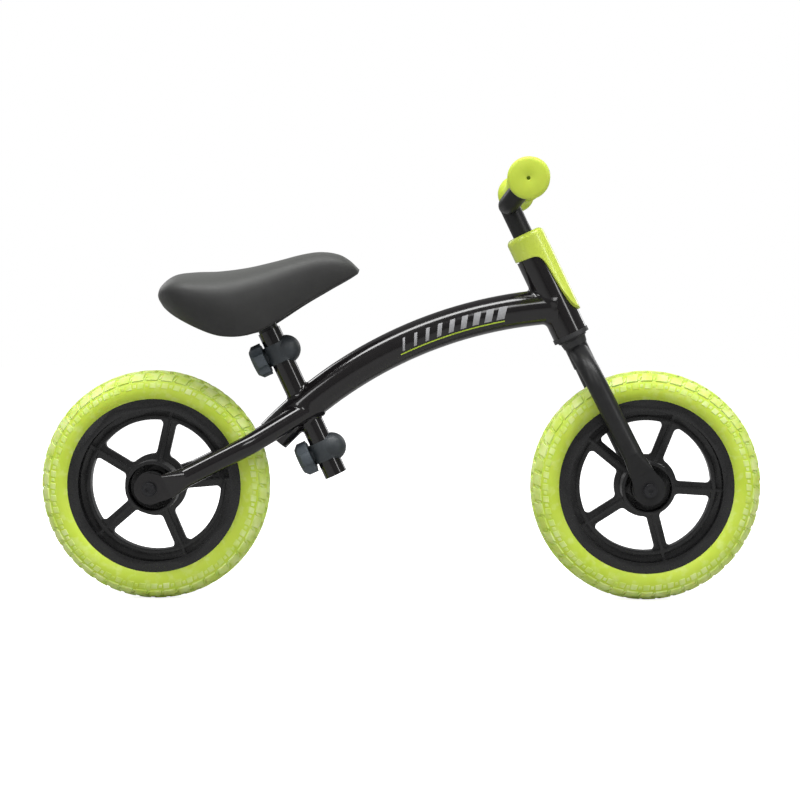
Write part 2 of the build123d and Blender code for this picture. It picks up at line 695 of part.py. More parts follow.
# ---- wheels and axles ----
bearing_outer = hub_width / 2
spacer_inner = bearing_outer + side_gap
for place, axle, spoke_angle in (
    ("front", front_axle, front_spoke_angle),
    ("rear", rear_axle, rear_spoke_angle),
):
    spin = Axis(axle, (0, 1, 0))
    flat = Plane(origin=axle, x_dir=(1, 0, 0), z_dir=(0, 0, 1))
    face = Plane(origin=axle, x_dir=(1, 0, 0), z_dir=(0, -1, 0))
    channel_floor = rim_radius - channel_depth
    channel_half = rim_width / 2 - channel_wall

    with BuildPart() as rim:
        with BuildSketch(flat):
            with BuildLine():
                Polyline(
                    (band_inner, -rim_width / 2),
                    (rim_radius, -rim_width / 2),
                    (rim_radius, -channel_half),
                    (channel_floor, -channel_half),
                    (channel_floor, channel_half),
                    (rim_radius, channel_half),
                    (rim_radius, rim_width / 2),
                    (band_inner, rim_width / 2),
                    close=True,
                )
            make_face()
            with Locations(((ring_inner + ring_outer) / 2, 0)):
                Rectangle(rim_ring, ring_width)
            with Locations(((ring_inner + band_inner) / 2, 0)):
                Rectangle(band_inner - ring_inner, web_width)
        revolve(axis=spin)
        with BuildSketch(face):
            Circle(ring_inner + rim_ring / 2)
        extrude(amount=web_width / 2, both=True)
        with BuildSketch(face):
            Circle(ring_inner)
            Circle(hub_disc_radius, mode=Mode.SUBTRACT)
            with PolarLocations(0, spoke_count, start_angle=spoke_angle):
                with Locations((ring_inner / 2, 0)):
                    Rectangle(ring_inner + 2 * rim_ring, spoke_width, mode=Mode.SUBTRACT)
            fillet(vertices(), window_corner)
        extrude(amount=rim_width, both=True, mode=Mode.SUBTRACT)
        with BuildSketch(face):
            with PolarLocations(0, spoke_count, start_angle=spoke_angle):
                with Locations(((hub_boss_radius + band_inner) / 2, 0)):
                    Rectangle(band_inner - hub_boss_radius + rim_ring, spoke_rib)
        extrude(amount=ring_width / 2, both=True)
        with BuildSketch(face):
            Circle(hub_boss_radius)
        extrude(amount=hub_boss_width / 2, both=True)
        for start in (-hub_width / 2, hub_floor_width / 2):
            cylinder_in(
                face, start, (hub_width - hub_floor_width) / 2, hub_boss_radius - hub_boss_wall,
                Mode.SUBTRACT,
            )
        cylinder_in(face, -hub_width / 2, hub_width, hub_core_radius)
        cylinder_in(face, -hub_width / 2, hub_width, hub_bore, Mode.SUBTRACT)
        for start in (-hub_width / 2, hub_width / 2 - bearing_width):
            cylinder_in(face, start, bearing_width, bearing_radius, Mode.SUBTRACT)
    save(rim.part, f"{place}_rim")

    with BuildPart() as tyre:
        half = tyre_width / 2
        bead = (rim_radius + bead_step, rim_width / 2 + bead_step)
        with BuildSketch(flat):
            with BuildLine():
                Line((channel_floor, -channel_half), (channel_floor, channel_half))
                Line((channel_floor, channel_half), (rim_radius, channel_half))
                Line((rim_radius, channel_half), bead)
                Spline(
                    bead,
                    (rim_radius + sidewall_rise, half),
                    (tyre_radius - shoulder_drop, half - shoulder_in),
                    (tyre_radius - tread_drop, half / 2),
                    (tyre_radius, 0),
                    tangents=((0.5, 0.5), (0, -1)),
                )
                mirror(about=Plane.XZ)
            make_face()
        revolve(axis=spin)
    save(tyre.part, f"{place}_tyre")

    with BuildPart() as bearings:
        for start in (-hub_width / 2, hub_width / 2 - bearing_width):
            tube_in(face, start, bearing_width, bearing_radius, axle_radius + bearing_fit)
    save(bearings.part, f"{place}_bearings")

    with BuildPart() as axle_rod:
        cylinder_in(face, -dropout_gap / 2, dropout_gap, axle_radius)
        for start in (-dropout_gap / 2, dropout_gap / 2 - axle_bolt_reach):
            cylinder_in(face, start, axle_bolt_reach, axle_bolt_radius, Mode.SUBTRACT)
    save(axle_rod.part, f"{place}_axle")

    with BuildPart() as spacers:
        for start in (-dropout_gap / 2, spacer_inner):
            tube_in(face, start, dropout_gap / 2 - spacer_inner, spacer_radius, axle_radius)
    save(spacers.part, f"{place}_spacers")

    with BuildPart() as washers:
        for start in (-bolt_face, washer_face):
            tube_in(face, start, washer_thick, washer_radius, axle_bolt_radius)
    save(washers.part, f"{place}_washers")

    with BuildPart() as bolts:
        bolt_end = dropout_gap / 2 - axle_bolt_reach + bolt_end_gap
        for direction in (-1, 1):
            outward = Plane(origin=axle, x_dir=(1, 0, 0), z_dir=(0, direction, 0))
            cylinder_in(outward, bolt_end, bolt_face - bolt_end, axle_bolt_radius)
            cylinder_in(outward, bolt_face, axle_bolt_head_height, axle_bolt_head)
            with BuildSketch(outward.offset(bolt_face + axle_bolt_head_height)) as socket:
                RegularPolygon(bolt_socket_radius, 6)
            extrude(socket.sketch, amount=-bolt_socket_depth, mode=Mode.SUBTRACT)
    save(bolts.part, f"{place}_axle_bolts")
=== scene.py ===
"""Child's balance bike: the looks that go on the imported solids.

Metres throughout, with X forward, Y left and Z up.
"""

import json
from collections import namedtuple
from math import cos, hypot, pi, radians, sin

import bmesh
import bpy
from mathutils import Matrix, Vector


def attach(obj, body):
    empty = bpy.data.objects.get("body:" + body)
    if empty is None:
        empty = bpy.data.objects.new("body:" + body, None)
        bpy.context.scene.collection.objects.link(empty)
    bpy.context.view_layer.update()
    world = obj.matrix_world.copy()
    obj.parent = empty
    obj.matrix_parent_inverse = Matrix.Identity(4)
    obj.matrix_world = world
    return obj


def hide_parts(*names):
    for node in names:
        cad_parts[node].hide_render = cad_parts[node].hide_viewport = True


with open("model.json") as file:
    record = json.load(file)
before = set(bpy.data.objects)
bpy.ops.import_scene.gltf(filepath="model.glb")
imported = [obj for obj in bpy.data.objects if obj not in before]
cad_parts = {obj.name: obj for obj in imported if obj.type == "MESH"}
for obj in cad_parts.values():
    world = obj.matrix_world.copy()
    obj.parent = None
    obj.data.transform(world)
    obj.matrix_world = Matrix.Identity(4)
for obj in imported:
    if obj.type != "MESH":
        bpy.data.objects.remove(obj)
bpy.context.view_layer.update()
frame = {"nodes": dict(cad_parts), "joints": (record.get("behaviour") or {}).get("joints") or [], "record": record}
joints = {joint["name"]: joint for joint in frame["joints"]}
mounts = {mount["name"]: mount for mount in frame["record"]["mounts"]}

# ---- sizes, in metres ----
MM = 0.001
TYRE_RADIUS = 127 * MM
MAIN_TUBE_RADIUS = 19.25 * MM
HEAD_TUBE_RADIUS = 19.5 * MM
SEAT_TUBE_RADIUS = 12.7 * MM
STAY_RADIUS = 11.1 * MM
SOCKET_DEPTH = 10 * MM  # lower socket's reference point above the seat tube's end
SEAT_CROSS_HEIGHT = 82.7 * MM  # main tube's centreline above the seat tube's end
HEAD_JOINT_HEIGHT = 38.1 * MM  # main tube's centreline above the head tube's end
MAIN_TUBE_RISE = radians(3.34)  # slope with which it leaves the head tube

STEER_BASE = Vector(joints["steering"]["pos_m"])
STEER_UP = Vector(joints["steering"]["axis"]).normalized()
SEAT_UP = Vector(joints["seat_height"]["axis"]).normalized()
SEAT_BASE = Vector(mounts["lower_post_socket"]["pos_m"]) - SEAT_UP * SOCKET_DEPTH
HUBS = {
    "front": Vector(joints["front_wheel_spin"]["pos_m"]),
    "rear": Vector(joints["rear_wheel_spin"]["pos_m"]),
}
LEFT = Vector((0, 1, 0))
SIDES = (("left", 1), ("right", -1))


def forward_of(up):
    """The direction square to a leaned tube, towards the front of the bike."""
    return LEFT.cross(up)


# ---- materials ----
MIX_FIRST, MIX_SECOND, MIX_RESULT = 6, 7, 2  # colour sockets of the Mix node


class Finish:
    """A node material that starts as one principled shader."""

    def __init__(self, name):
        self.material = bpy.data.materials.new(name)
        self.material.use_nodes = True
        self.tree = self.material.node_tree
        self.shader = self.tree.nodes["Principled BSDF"]
        self.place = self.tree.nodes.new("ShaderNodeTexCoord").outputs["Object"]

    def settings(self, **values):
        """Shader sockets by name, with an underscore for each space."""
        for name, value in values.items():
            self.shader.inputs[name.replace("_", " ")].default_value = value

    def feed(self, socket, value):
        """Links another node's socket to this one, or sets it to a constant."""
        if isinstance(value, bpy.types.NodeSocket):
            self.tree.links.new(value, socket)
        elif socket.type == "RGBA":
            socket.default_value = (*value, 1.0)
        else:
            socket.default_value = value

    def node(self, kind, **inputs):
        """A node whose inputs are constants or other nodes' sockets, by name."""
        made = self.tree.nodes.new(kind)
        for name, value in inputs.items():
            self.feed(made.inputs[name], value)
        return made

    def noise(self, scale, detail=3.0, stretch=None):
        """A noise on the piece, stretched along its axes where that is given."""
        vector = self.place
        if stretch:
            mapping = self.node("ShaderNodeMapping", Vector=vector, Scale=stretch)
            vector = mapping.outputs["Vector"]
        made = self.node(
            "ShaderNodeTexNoise", Vector=vector, Scale=scale, Detail=detail
        )
        return made.outputs["Fac"]

    def cells(self, scale):
        """Small round cells, as in foam or leather grain."""
        made = self.node("ShaderNodeTexVoronoi", Vector=self.place, Scale=scale)
        return made.outputs["Distance"]

    def ramp(self, value, low, high, stops=(0.3, 0.7)):
        """Two colours or greys blended along a value, between two stops."""
        made = self.node("ShaderNodeValToRGB", Fac=value)
        elements = made.color_ramp.elements
        for element, stop, colour in zip(elements, stops, (low, high)):
            element.position = stop
            shade = colour if isinstance(colour, tuple) else (colour,) * 3
            element.color = (*shade, 1.0)
        return made.outputs["Color"]

    def drift(self, scale, low, high, detail=3.0, stretch=None, stops=(0.3, 0.7)):
        """A colour or grey that drifts between two values over the surface."""
        return self.ramp(self.noise(scale, detail, stretch), low, high, stops)

    def mixed(self, share, first, second):
        """Two colours mixed by a share."""
        made = self.tree.nodes.new("ShaderNodeMix")
        made.data_type = "RGBA"
        self.feed(made.inputs["Factor"], share)
        self.feed(made.inputs[MIX_FIRST], first)
        self.feed(made.inputs[MIX_SECOND], second)
        return made.outputs[MIX_RESULT]

    def colour(self, socket):
        self.feed(self.shader.inputs["Base Color"], socket)

    def roughness(self, socket):
        self.feed(self.shader.inputs["Roughness"], socket)

    def bumps(self, *layers):
        """Stacked bump layers: (height socket, strength, depth in metres)."""
        normal = None
        for height, strength, depth in layers:
            made = self.node(
                "ShaderNodeBump", Height=height, Strength=strength, Distance=depth
            )
            if normal:
                self.feed(made.inputs["Normal"], normal)
            normal = made.outputs["Normal"]
        self.feed(self.shader.inputs["Normal"], normal)


def gloss_black_paint():
    """Powder coat with a faint orange peel and a clear, shiny top."""
    paint = Finish("gloss_black_paint")
    paint.settings(
        IOR=1.45, Specular_IOR_Level=0.5, Coat_Weight=0.25, Coat_Roughness=0.04
    )
    paint.colour(paint.drift(60, (0.006, 0.005, 0.0055), (0.008, 0.007, 0.0075)))
    paint.roughness(paint.drift(240, 0.12, 0.17))
    peel = (paint.noise(700, 1.0), 0.03, 0.03 * MM)
    grain = (paint.noise(3600), 0.03, 0.02 * MM)
    paint.bumps(peel, grain)
    return paint.material


def satin_black_paint():
    """Duller powder coat on the fork and the bar."""
    paint = Finish("satin_black_paint")
    paint.settings(IOR=1.45, Specular_IOR_Level=0.35)
    paint.colour(paint.drift(90, (0.0125, 0.0125, 0.013), (0.017, 0.017, 0.0175)))
    paint.roughness(paint.drift(500, 0.34, 0.44))
    peel = (paint.noise(900, 2.0), 0.15, 0.1 * MM)
    grain = (paint.noise(5200), 0.1, 0.04 * MM)
    paint.bumps(peel, grain)
    return paint.material


def moulded(name, dark, light, smooth, rough, grain, strength, **settings):
    """Moulded plastic: two close colours, a fine spark-eroded grain, slight waves."""
    plastic = Finish(name)
    plastic.settings(**settings)
    plastic.colour(plastic.drift(70, dark, light))
    plastic.roughness(plastic.drift(300, smooth, rough))
    eroded = (plastic.noise(grain, 4.0), strength, 0.15 * MM)
    waves = (plastic.noise(120, 1.0), 0.08, 0.4 * MM)
    plastic.bumps(eroded, waves)
    return plastic.material


def lime_foam():
    """Closed-cell foam tyre: flow marks, pale blooms and small cells."""
    foam = Finish("lime_foam")
    foam.settings(
        IOR=1.46, Subsurface_Weight=0.12, Subsurface_Scale=4 * MM, Sheen_Weight=0.15
    )
    flow = foam.drift(
        26, (0.53, 0.69, 0.042), (0.59, 0.74, 0.075), detail=5.0, stops=(0.32, 0.7)
    )
    bloom = foam.drift(95, 0.0, 0.55, detail=6.0, stops=(0.52, 0.75))
    foam.colour(foam.mixed(bloom, flow, (0.72, 0.84, 0.3)))
    foam.roughness(foam.drift(180, 0.42, 0.6))
    waves = (foam.noise(130), 0.35, 0.6 * MM)
    cells = (foam.cells(1500), 0.12, 0.15 * MM)
    foam.bumps(waves, cells)
    return foam.material


def lime_tread():
    """The same foam in a paler tint, on the moulded blocks."""
    foam = Finish("lime_tread")
    foam.settings(IOR=1.46, Subsurface_Weight=0.12, Subsurface_Scale=4 * MM)
    foam.colour(
        foam.drift(
            60, (0.58, 0.74, 0.1), (0.74, 0.85, 0.32), detail=4.0, stops=(0.35, 0.65)
        )
    )
    foam.roughness(foam.drift(200, 0.38, 0.55))
    waves = (foam.noise(300), 0.25, 0.4 * MM)
    cells = (foam.cells(1500), 0.1, 0.12 * MM)
    foam.bumps(waves, cells)
    return foam.material


def lime_rubber():
    """Soft grip rubber with a fine matt grain."""
    rubber = Finish("lime_rubber")
    rubber.settings(
        IOR=1.5, Sheen_Weight=0.1, Subsurface_Weight=0.06, Subsurface_Scale=3 * MM
    )
    rubber.colour(rubber.drift(50, (0.55, 0.69, 0.05), (0.6, 0.73, 0.07)))
    rubber.roughness(rubber.drift(400, 0.4, 0.52))
    grain = (rubber.noise(2400), 0.2, 0.1 * MM)
    waves = (rubber.noise(160), 0.08, 0.3 * MM)
    rubber.bumps(grain, waves)
    return rubber.material


def seat_foam():
    """Integral-skin foam: a fine pebbled skin, with painted light that makes its upward-facing top paler."""
    skin = Finish("seat_foam")
    skin.settings(
        IOR=1.45, Specular_IOR_Level=0.4, Sheen_Weight=0.12, Sheen_Roughness=0.45
    )
    # Painted light: surfaces that face up are mixed towards a paler grey, standing in for light falling on the
    # crown from above.
    facing = skin.node("ShaderNodeNewGeometry").outputs["Normal"]
    upward = skin.node("ShaderNodeSeparateXYZ", Vector=facing).outputs["Z"]
    painted_top_light = skin.ramp(upward, 0.0, 1.0, stops=(0.25, 0.95))
    base = skin.drift(40, (0.022, 0.022, 0.0215), (0.028, 0.028, 0.0275), detail=4.0)
    skin.colour(skin.mixed(painted_top_light, base, (0.07, 0.072, 0.068)))
    skin.roughness(skin.drift(220, 0.46, 0.56))
    pebbles = (skin.cells(1900), 0.16, 0.12 * MM)
    waves = (skin.noise(260), 0.12, 0.3 * MM)
    skin.bumps(pebbles, waves)
    return skin.material


def plated(name, colour, smooth, rough):
    """Plated or blackened steel with fine turning marks round its axle."""
    metal = Finish(name)
    metal.settings(Metallic=1.0)
    dull = tuple(part * 0.8 for part in colour)
    metal.colour(metal.drift(300, dull, colour, detail=4.0))
    metal.roughness(
        metal.drift(900, smooth, rough, detail=4.0, stretch=(1.0, 8.0, 1.0))
    )
    turning = (metal.noise(1800, 3.0, (1.0, 6.0, 1.0)), 0.1, 0.06 * MM)
    metal.bumps(turning)
    return metal.material


def printed(name, dark, light):
    """Ink on the frame's paint."""
    ink = Finish(name)
    ink.settings(Roughness=0.4)
    ink.colour(ink.drift(500, dark, light))
    return ink.material


FINISHES = {
    "gloss_black_paint": gloss_black_paint(),
    "satin_black_paint": satin_black_paint(),
    "black_nylon": moulded(
        "black_nylon",
        dark=(0.018, 0.018, 0.019), light=(0.026, 0.026, 0.027),
        smooth=0.45, rough=0.6, grain=2600, strength=0.3,
    ),
    "clamp_plastic": moulded(
        "clamp_plastic",
        dark=(0.024, 0.029, 0.033), light=(0.034, 0.041, 0.047),
        smooth=0.42, rough=0.56, grain=2200, strength=0.3, IOR=1.5,
    ),
    "knob_plastic": moulded(
        "knob_plastic",
        dark=(0.05, 0.062, 0.074), light=(0.068, 0.082, 0.095),
        smooth=0.48, rough=0.62, grain=2000, strength=0.35, IOR=1.5,
    ),
    "rim_plastic": moulded(
        "rim_plastic",
        dark=(0.006, 0.006, 0.0065), light=(0.0095, 0.0095, 0.01),
        smooth=0.24, rough=0.34, grain=1400, strength=0.16, IOR=1.52,
    ),
    "lime_plastic": moulded(
        "lime_plastic",
        dark=(0.57, 0.7, 0.07), light=(0.62, 0.74, 0.095),
        smooth=0.26, rough=0.36, grain=2800, strength=0.12, Coat_Weight=0.3,
    ),
    "lime_foam_tyre": lime_foam(),
    "lime_rubber": lime_rubber(),
    "seat_foam": seat_foam(),
    "zinc_steel": plated("zinc_steel", (0.62, 0.63, 0.64), smooth=0.24, rough=0.4),
    "black_steel": plated(
        "black_steel", (0.055, 0.055, 0.058), smooth=0.3, rough=0.46
    ),
    "brass_insert": plated(
        "brass_insert", (0.78, 0.6, 0.26), smooth=0.25, rough=0.4
    ),
}
LIME_TREAD = lime_tread()

SLOT_OF = {
    part["node"]: part["material_slot"] for part in frame["record"]["subparts"]
}
for name, node in frame["nodes"].items():
    node.data.materials.clear()
    node.data.materials.append(FINISHES[SLOT_OF[name]])


# ---- making pieces ----
DOUBLES = 1e-6  # points nearer than this are one point
SPECK = 1e-7  # edges shorter than this are dissolved


def placed(name, data):
    """A new object in the scene."""
    made = bpy.data.objects.new(name, data)
    bpy.context.scene.collection.objects.link(made)
    return made


def piece(name, mesh, body, slot, *nodes, material=None, sharp=35):
    """A finished mesh that rides on a body and may stand for CAD nodes."""
    mesh.materials.clear()
    mesh.materials.append(material or FINISHES[slot])
    mesh.shade_smooth()
    mesh.set_sharp_from_angle(angle=radians(sharp))
    made = placed(name, mesh)
    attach(made, body)
    if nodes:
        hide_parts(*nodes)
    return made


def plain_mesh(made):
    """The mesh that an object has with its modifiers, without the object."""
    bpy.context.view_layer.update()
    ready = made.evaluated_get(bpy.context.evaluated_depsgraph_get())
    mesh = bpy.data.meshes.new_from_object(ready)
    bpy.data.objects.remove(made)
    return mesh


def mesh_of(name, points, faces):
    """A mesh with its doubles merged and its faces pointing outwards."""
    work = bmesh.new()
    corners = [work.verts.new(point) for point in points]
    for face in faces:
        work.faces.new([corners[index] for index in face])
    bmesh.ops.remove_doubles(work, verts=work.verts, dist=DOUBLES)
    bmesh.ops.dissolve_degenerate(work, edges=work.edges, dist=SPECK)
    bmesh.ops.recalc_face_normals(work, faces=work.faces)
    mesh = bpy.data.meshes.new(name)
    work.to_mesh(mesh)
    work.free()
    return mesh


def grid_faces(rows, columns, wrap_rows=False, wrap_columns=False):
    """Quads between neighbouring points of a grid that is stored row by row."""
    faces = []
    for row in range(rows if wrap_rows else rows - 1):
        here = row * columns
        there = (row + 1) % rows * columns
        for column in range(columns if wrap_columns else columns - 1):
            beside = (column + 1) % columns
            faces.append((here + column, here + beside, there + beside, there + column))
    return faces


def turned(name, profile, base, up, steps):
    """A turned piece: a closed loop of (radius, height) points spun about an axis."""
    side = up.orthogonal().normalized()
    other = up.cross(side)
    points = []
    for step in range(steps):
        angle = 2 * pi * step / steps
        out = side * cos(angle) + other * sin(angle)
        points += [base + out * radius + up * height for radius, height in profile]
    faces = grid_faces(steps, len(profile), wrap_rows=True, wrap_columns=True)
    return mesh_of(name, points, faces)


def in_metres(points):
    """Points given in millimetres."""
    return [tuple(part * MM for part in point) for point in points]


class Pattern:
    """Geometry Nodes that repeat a piece at points, as one mesh with one finish."""

    def __init__(self, name, sizes):
        """Sizes are the tree's own inputs: the kind of socket by name."""
        self.tree = bpy.data.node_groups.new(name, "GeometryNodeTree")
        self.socket("Piece", "Geometry")
        kinds = {"Copies": "Int", **sizes, "Finish": "Material"}
        self.keys = {label: self.socket(label, kind) for label, kind in kinds.items()}
        self.socket("Pattern", "Geometry", way="OUTPUT")
        self.given = self.node("NodeGroupInput").outputs
        self.points = self.node("GeometryNodeMeshLine", mode="OFFSET")
        self.copies = self.node("GeometryNodeInstanceOnPoints")
        self.solid = self.node("GeometryNodeRealizeInstances")
        self.coat = self.node("GeometryNodeSetMaterial")
        self.wire(
            (self.given["Copies"], self.points.inputs["Count"]),
            (self.points.outputs["Mesh"], self.copies.inputs["Points"]),
            (self.given["Piece"], self.copies.inputs["Instance"]),
            (self.copies.outputs["Instances"], self.solid.inputs["Geometry"]),
            (self.given["Finish"], self.coat.inputs["Material"]),
            (self.coat.outputs["Geometry"], self.node("NodeGroupOutput").inputs[0]),
        )

    def socket(self, label, kind, way="INPUT"):
        """A named socket of the tree, by its identifier."""
        made = self.tree.interface.new_socket(
            label, in_out=way, socket_type=f"NodeSocket{kind}"
        )
        return made.identifier

    def node(self, kind, **settings):
        made = self.tree.nodes.new(kind)
        for name, value in settings.items():
            setattr(made, name, value)
        return made

    def wire(self, *links):
        for start, end in links:
            self.tree.links.new(start, end)

    def mesh(self, name, seed_mesh, values):
        """A mesh repeated by this tree, as one plain mesh."""
        seed = placed(name, seed_mesh)
        modifier = seed.modifiers.new("pattern", "NODES")
        modifier.node_group = self.tree
        for label, value in values.items():
            modifier[self.keys[label]] = value
        return plain_mesh(seed)


def ring_pattern():
    """Copies turned by even steps about an axle, then moved to its hub."""
    ring = Pattern("blocks_round_the_axle", {"First turn": "Float", "Hub": "Vector"})
    ring.points.inputs["Offset"].default_value = (0, 0, 0)
    index = ring.node("GeometryNodeInputIndex")
    share = ring.node("ShaderNodeMath", operation="DIVIDE")
    turn = ring.node("ShaderNodeMath", operation="MULTIPLY_ADD")
    turn.inputs[1].default_value = 2 * pi
    rotation = ring.node("ShaderNodeCombineXYZ")
    place = ring.node("GeometryNodeTransform")
    ring.wire(
        (index.outputs[0], share.inputs[0]),
        (ring.given["Copies"], share.inputs[1]),
        (share.outputs[0], turn.inputs[0]),
        (ring.given["First turn"], turn.inputs[2]),
        (turn.outputs[0], rotation.inputs["Y"]),
        (rotation.outputs[0], ring.copies.inputs["Rotation"]),
        (ring.solid.outputs[0], place.inputs["Geometry"]),
        (ring.given["Hub"], place.inputs["Translation"]),
        (place.outputs[0], ring.coat.inputs["Geometry"]),
    )
    return ring


def row_pattern():
    """Copies at even steps along a line."""
    row = Pattern("ribs_along_the_grip", {"Step": "Vector"})
    row.wire(
        (row.given["Step"], row.points.inputs["Offset"]),
        (row.solid.outputs[0], row.coat.inputs["Geometry"]),
    )
    return row


RING = ring_pattern()
ROW = row_pattern()

# ---- wheels ----
# Half the casing in millimetres, bead to crown: (radius, distance from the middle).
CASING_HALF = [
    (96.2, 20.0), (97.2, 21.2), (100.0, 22.8), (104.0, 23.7), (108.0, 23.8),
    (112.0, 23.0), (115.6, 21.2), (118.8, 18.2), (121.4, 14.4), (123.2, 10.0),
    (124.4, 5.0), (124.8, 0.0),
]
# The foot that the rim holds, right to left.
TYRE_FOOT = [
    (95.8, -19.9), (95.8, -16.3), (88.2, -16.3), (88.2, 16.3), (95.8, 16.3),
    (95.8, 19.9),
]
CASING = [Vector(spot) for spot in in_metres(CASING_HALF)]
CASING_STEPS = [0.0]
for first, second in zip(CASING, CASING[1:]):
    CASING_STEPS.append(CASING_STEPS[-1] + (second - first).length)
CROWN = CASING_STEPS[-1]  # distance from the bead to the crown over the casing


def casing_point(along):
    """Point and outward direction at a distance from the bead, past the crown too."""
    flip = along > CROWN
    distance = 2 * CROWN - along if flip else along
    index = 0
    while index < len(CASING) - 2 and CASING_STEPS[index + 1] < distance:
        index += 1
    span = CASING_STEPS[index + 1] - CASING_STEPS[index]
    share = (distance - CASING_STEPS[index]) / span
    spot = CASING[index].lerp(CASING[index + 1], share)
    last = len(CASING) - 1
    slope = (CASING[index + 1] - CASING[index]).normalized()
    ahead = CASING[min(index + 2, last)] - CASING[min(index + 1, last - 1)]
    slope = slope.lerp(ahead.normalized(), share).normalized()
    out = Vector((-slope.y, slope.x))
    if flip:
        return Vector((spot.x, -spot.y)), Vector((out.x, -out.y))
    return spot, out


# A row of blocks round the tyre: where it lies over the casing from the bead, half
# its length round the tyre, how far it stands up and leans, how many there are, the
# first one's place as a share of a step, and its outer end's length to its inner's.
BlockRow = namedtuple(
    "BlockRow", "name low high reach raised skew copies shift taper", defaults=(1.0,)
)
TREAD_BLOCKS = 46
SIDE_MARKS = 52
BLOCK_LENGTH = 2 * pi * TYRE_RADIUS / TREAD_BLOCKS  # with the gap to the next
SIDE_ROWS = (
    BlockRow(
        "shoulder", low=21.2 * MM, high=33.8 * MM, reach=0.37 * BLOCK_LENGTH,
        raised=1.5 * MM, skew=2.2 * MM, copies=TREAD_BLOCKS, shift=0.0,
    ),
    BlockRow(
        "lug", low=22.8 * MM, high=30.0 * MM, reach=0.09 * BLOCK_LENGTH,
        raised=0.8 * MM, skew=3.0 * MM, copies=TREAD_BLOCKS, shift=0.5,
    ),
    BlockRow(
        "mark", low=12.8 * MM, high=19.6 * MM, reach=3.7 * MM,
        raised=0.4 * MM, skew=0.8 * MM, copies=SIDE_MARKS, shift=0.0, taper=0.92,
    ),
    BlockRow(
        "small_mark", low=14.2 * MM, high=18.4 * MM, reach=2.0 * MM,
        raised=0.3 * MM, skew=0.4 * MM, copies=SIDE_MARKS, shift=0.5,
    ),
)
MIDDLE_LUG = BlockRow(
    "middle_lug", low=CROWN - 7.6 * MM, high=CROWN - 0.7 * MM,
    reach=0.34 * BLOCK_LENGTH, raised=2.1 * MM, skew=3.2 * MM,
    copies=TREAD_BLOCKS, shift=0.25,
)
TREAD = [
    (block._replace(name=f"{label}_{block.name}"), side)
    for label, side in reversed(SIDES)
    for block in SIDE_ROWS
]
TREAD += [(MIDDLE_LUG, 1), (MIDDLE_LUG._replace(name="other_lug", shift=0.75), -1)]
BLOCK_EDGE = 0.55 * MM  # width of a block's sloping sides
BLOCK_ROOT = -0.4 * MM  # its foot, under the casing's skin
BLOCK_ROWS, BLOCK_COLUMNS = 5, 4  # lines of points over a block's top
TYRE_STEPS = 192


def along_block(index, count):
    """A point's share of the way over a block's top, held at its edges."""
    return min(max((index - 1) / (count - 1), 0), 1)


def block_mesh(block, side):
    """A raised block that follows the casing, at the top of the wheel."""
    rows, columns = BLOCK_ROWS + 2, BLOCK_COLUMNS + 2
    points = []
    for row in range(rows):
        low = block.low + (0 if row == 0 else BLOCK_EDGE)
        high = block.high - (0 if row == rows - 1 else BLOCK_EDGE)
        across = along_block(row, BLOCK_ROWS)
        width = block.reach * (1 + (block.taper - 1) * across)
        spot, out = casing_point(low + (high - low) * across)
        for column in range(columns):
            end_row = row in (0, rows - 1)
            end_column = column in (0, columns - 1)
            reach = width if end_column else width - BLOCK_EDGE
            turn = -1 + 2 * along_block(column, BLOCK_COLUMNS)
            lift = BLOCK_ROOT if end_row or end_column else block.raised
            radius = spot.x + out.x * lift
            angle = (turn * reach + block.skew * (across - 0.5)) / spot.x
            away = side * (spot.y + out.y * lift)
            points.append((radius * sin(angle), away, radius * cos(angle)))
    faces = grid_faces(rows, columns)
    first_column = [row * columns for row in range(rows)]
    outline = list(range(columns))
    outline += [corner + columns - 1 for corner in first_column[1:]]
    outline += [(rows - 1) * columns + column for column in range(columns - 2, -1, -1)]
    outline += list(reversed(first_column[1:-1]))
    faces.append(tuple(reversed(outline)))
    return mesh_of(block.name, points, faces)


def wheel_tyre(place):
    """Foam tyre: a plain casing and its moulded blocks, all one colour family."""
    hub = HUBS[place]
    body = f"{place}_wheel"
    outline = [(spot.x, spot.y) for spot in CASING]
    outline += [(spot.x, -spot.y) for spot in reversed(CASING[:-1])]
    outline += in_metres(TYRE_FOOT)
    casing_name = f"{place}_tyre_casing"
    casing = turned(casing_name, outline, hub, LEFT, TYRE_STEPS)
    piece(casing_name, casing, body, "lime_foam_tyre", f"{place}_tyre", sharp=50)
    for block, side in TREAD:
        values = {
            "Copies": block.copies,
            "First turn": block.shift * (2 * pi / block.copies),
            "Hub": tuple(hub),
            "Finish": LIME_TREAD,
        }
        ring = RING.mesh(block.name, block_mesh(block, side), values)
        name = f"{place}_{block.name}s"
        piece(name, ring, body, "lime_foam_tyre", material=LIME_TREAD)


CAD_DOUBLES = 2e-6
CAD_SPECK = 1e-6
FLAT_WITHIN = radians(0.6)  # CAD triangles that lie this flat are one face
EASED_ABOVE = radians(38)  # edges sharper than this are broken


def softened(node, body, width):
    """A CAD node's own shape with its edges broken, standing in for it."""
    work = bmesh.new()
    work.from_mesh(frame["nodes"][node].data)
    bmesh.ops.remove_doubles(work, verts=work.verts, dist=CAD_DOUBLES)
    bmesh.ops.dissolve_degenerate(work, edges=work.edges, dist=CAD_SPECK)
    bmesh.ops.dissolve_limit(
        work, angle_limit=FLAT_WITHIN, verts=work.verts, edges=work.edges
    )
    mesh = bpy.data.meshes.new(f"{node}_softened")
    work.to_mesh(mesh)
    work.free()
    rough = placed(f"{node}_softened", mesh)
    bevel = rough.modifiers.new("edges", "BEVEL")
    bevel.width = width
    bevel.segments = 2
    bevel.limit_method = "ANGLE"
    bevel.angle_limit = EASED_ABOVE
    piece(f"{node}_eased", plain_mesh(rough), body, SLOT_OF[node], node, sharp=40)


for place in HUBS:
    wheel_tyre(place)
    softened(f"{place}_rim", f"{place}_wheel", 0.7 * MM)


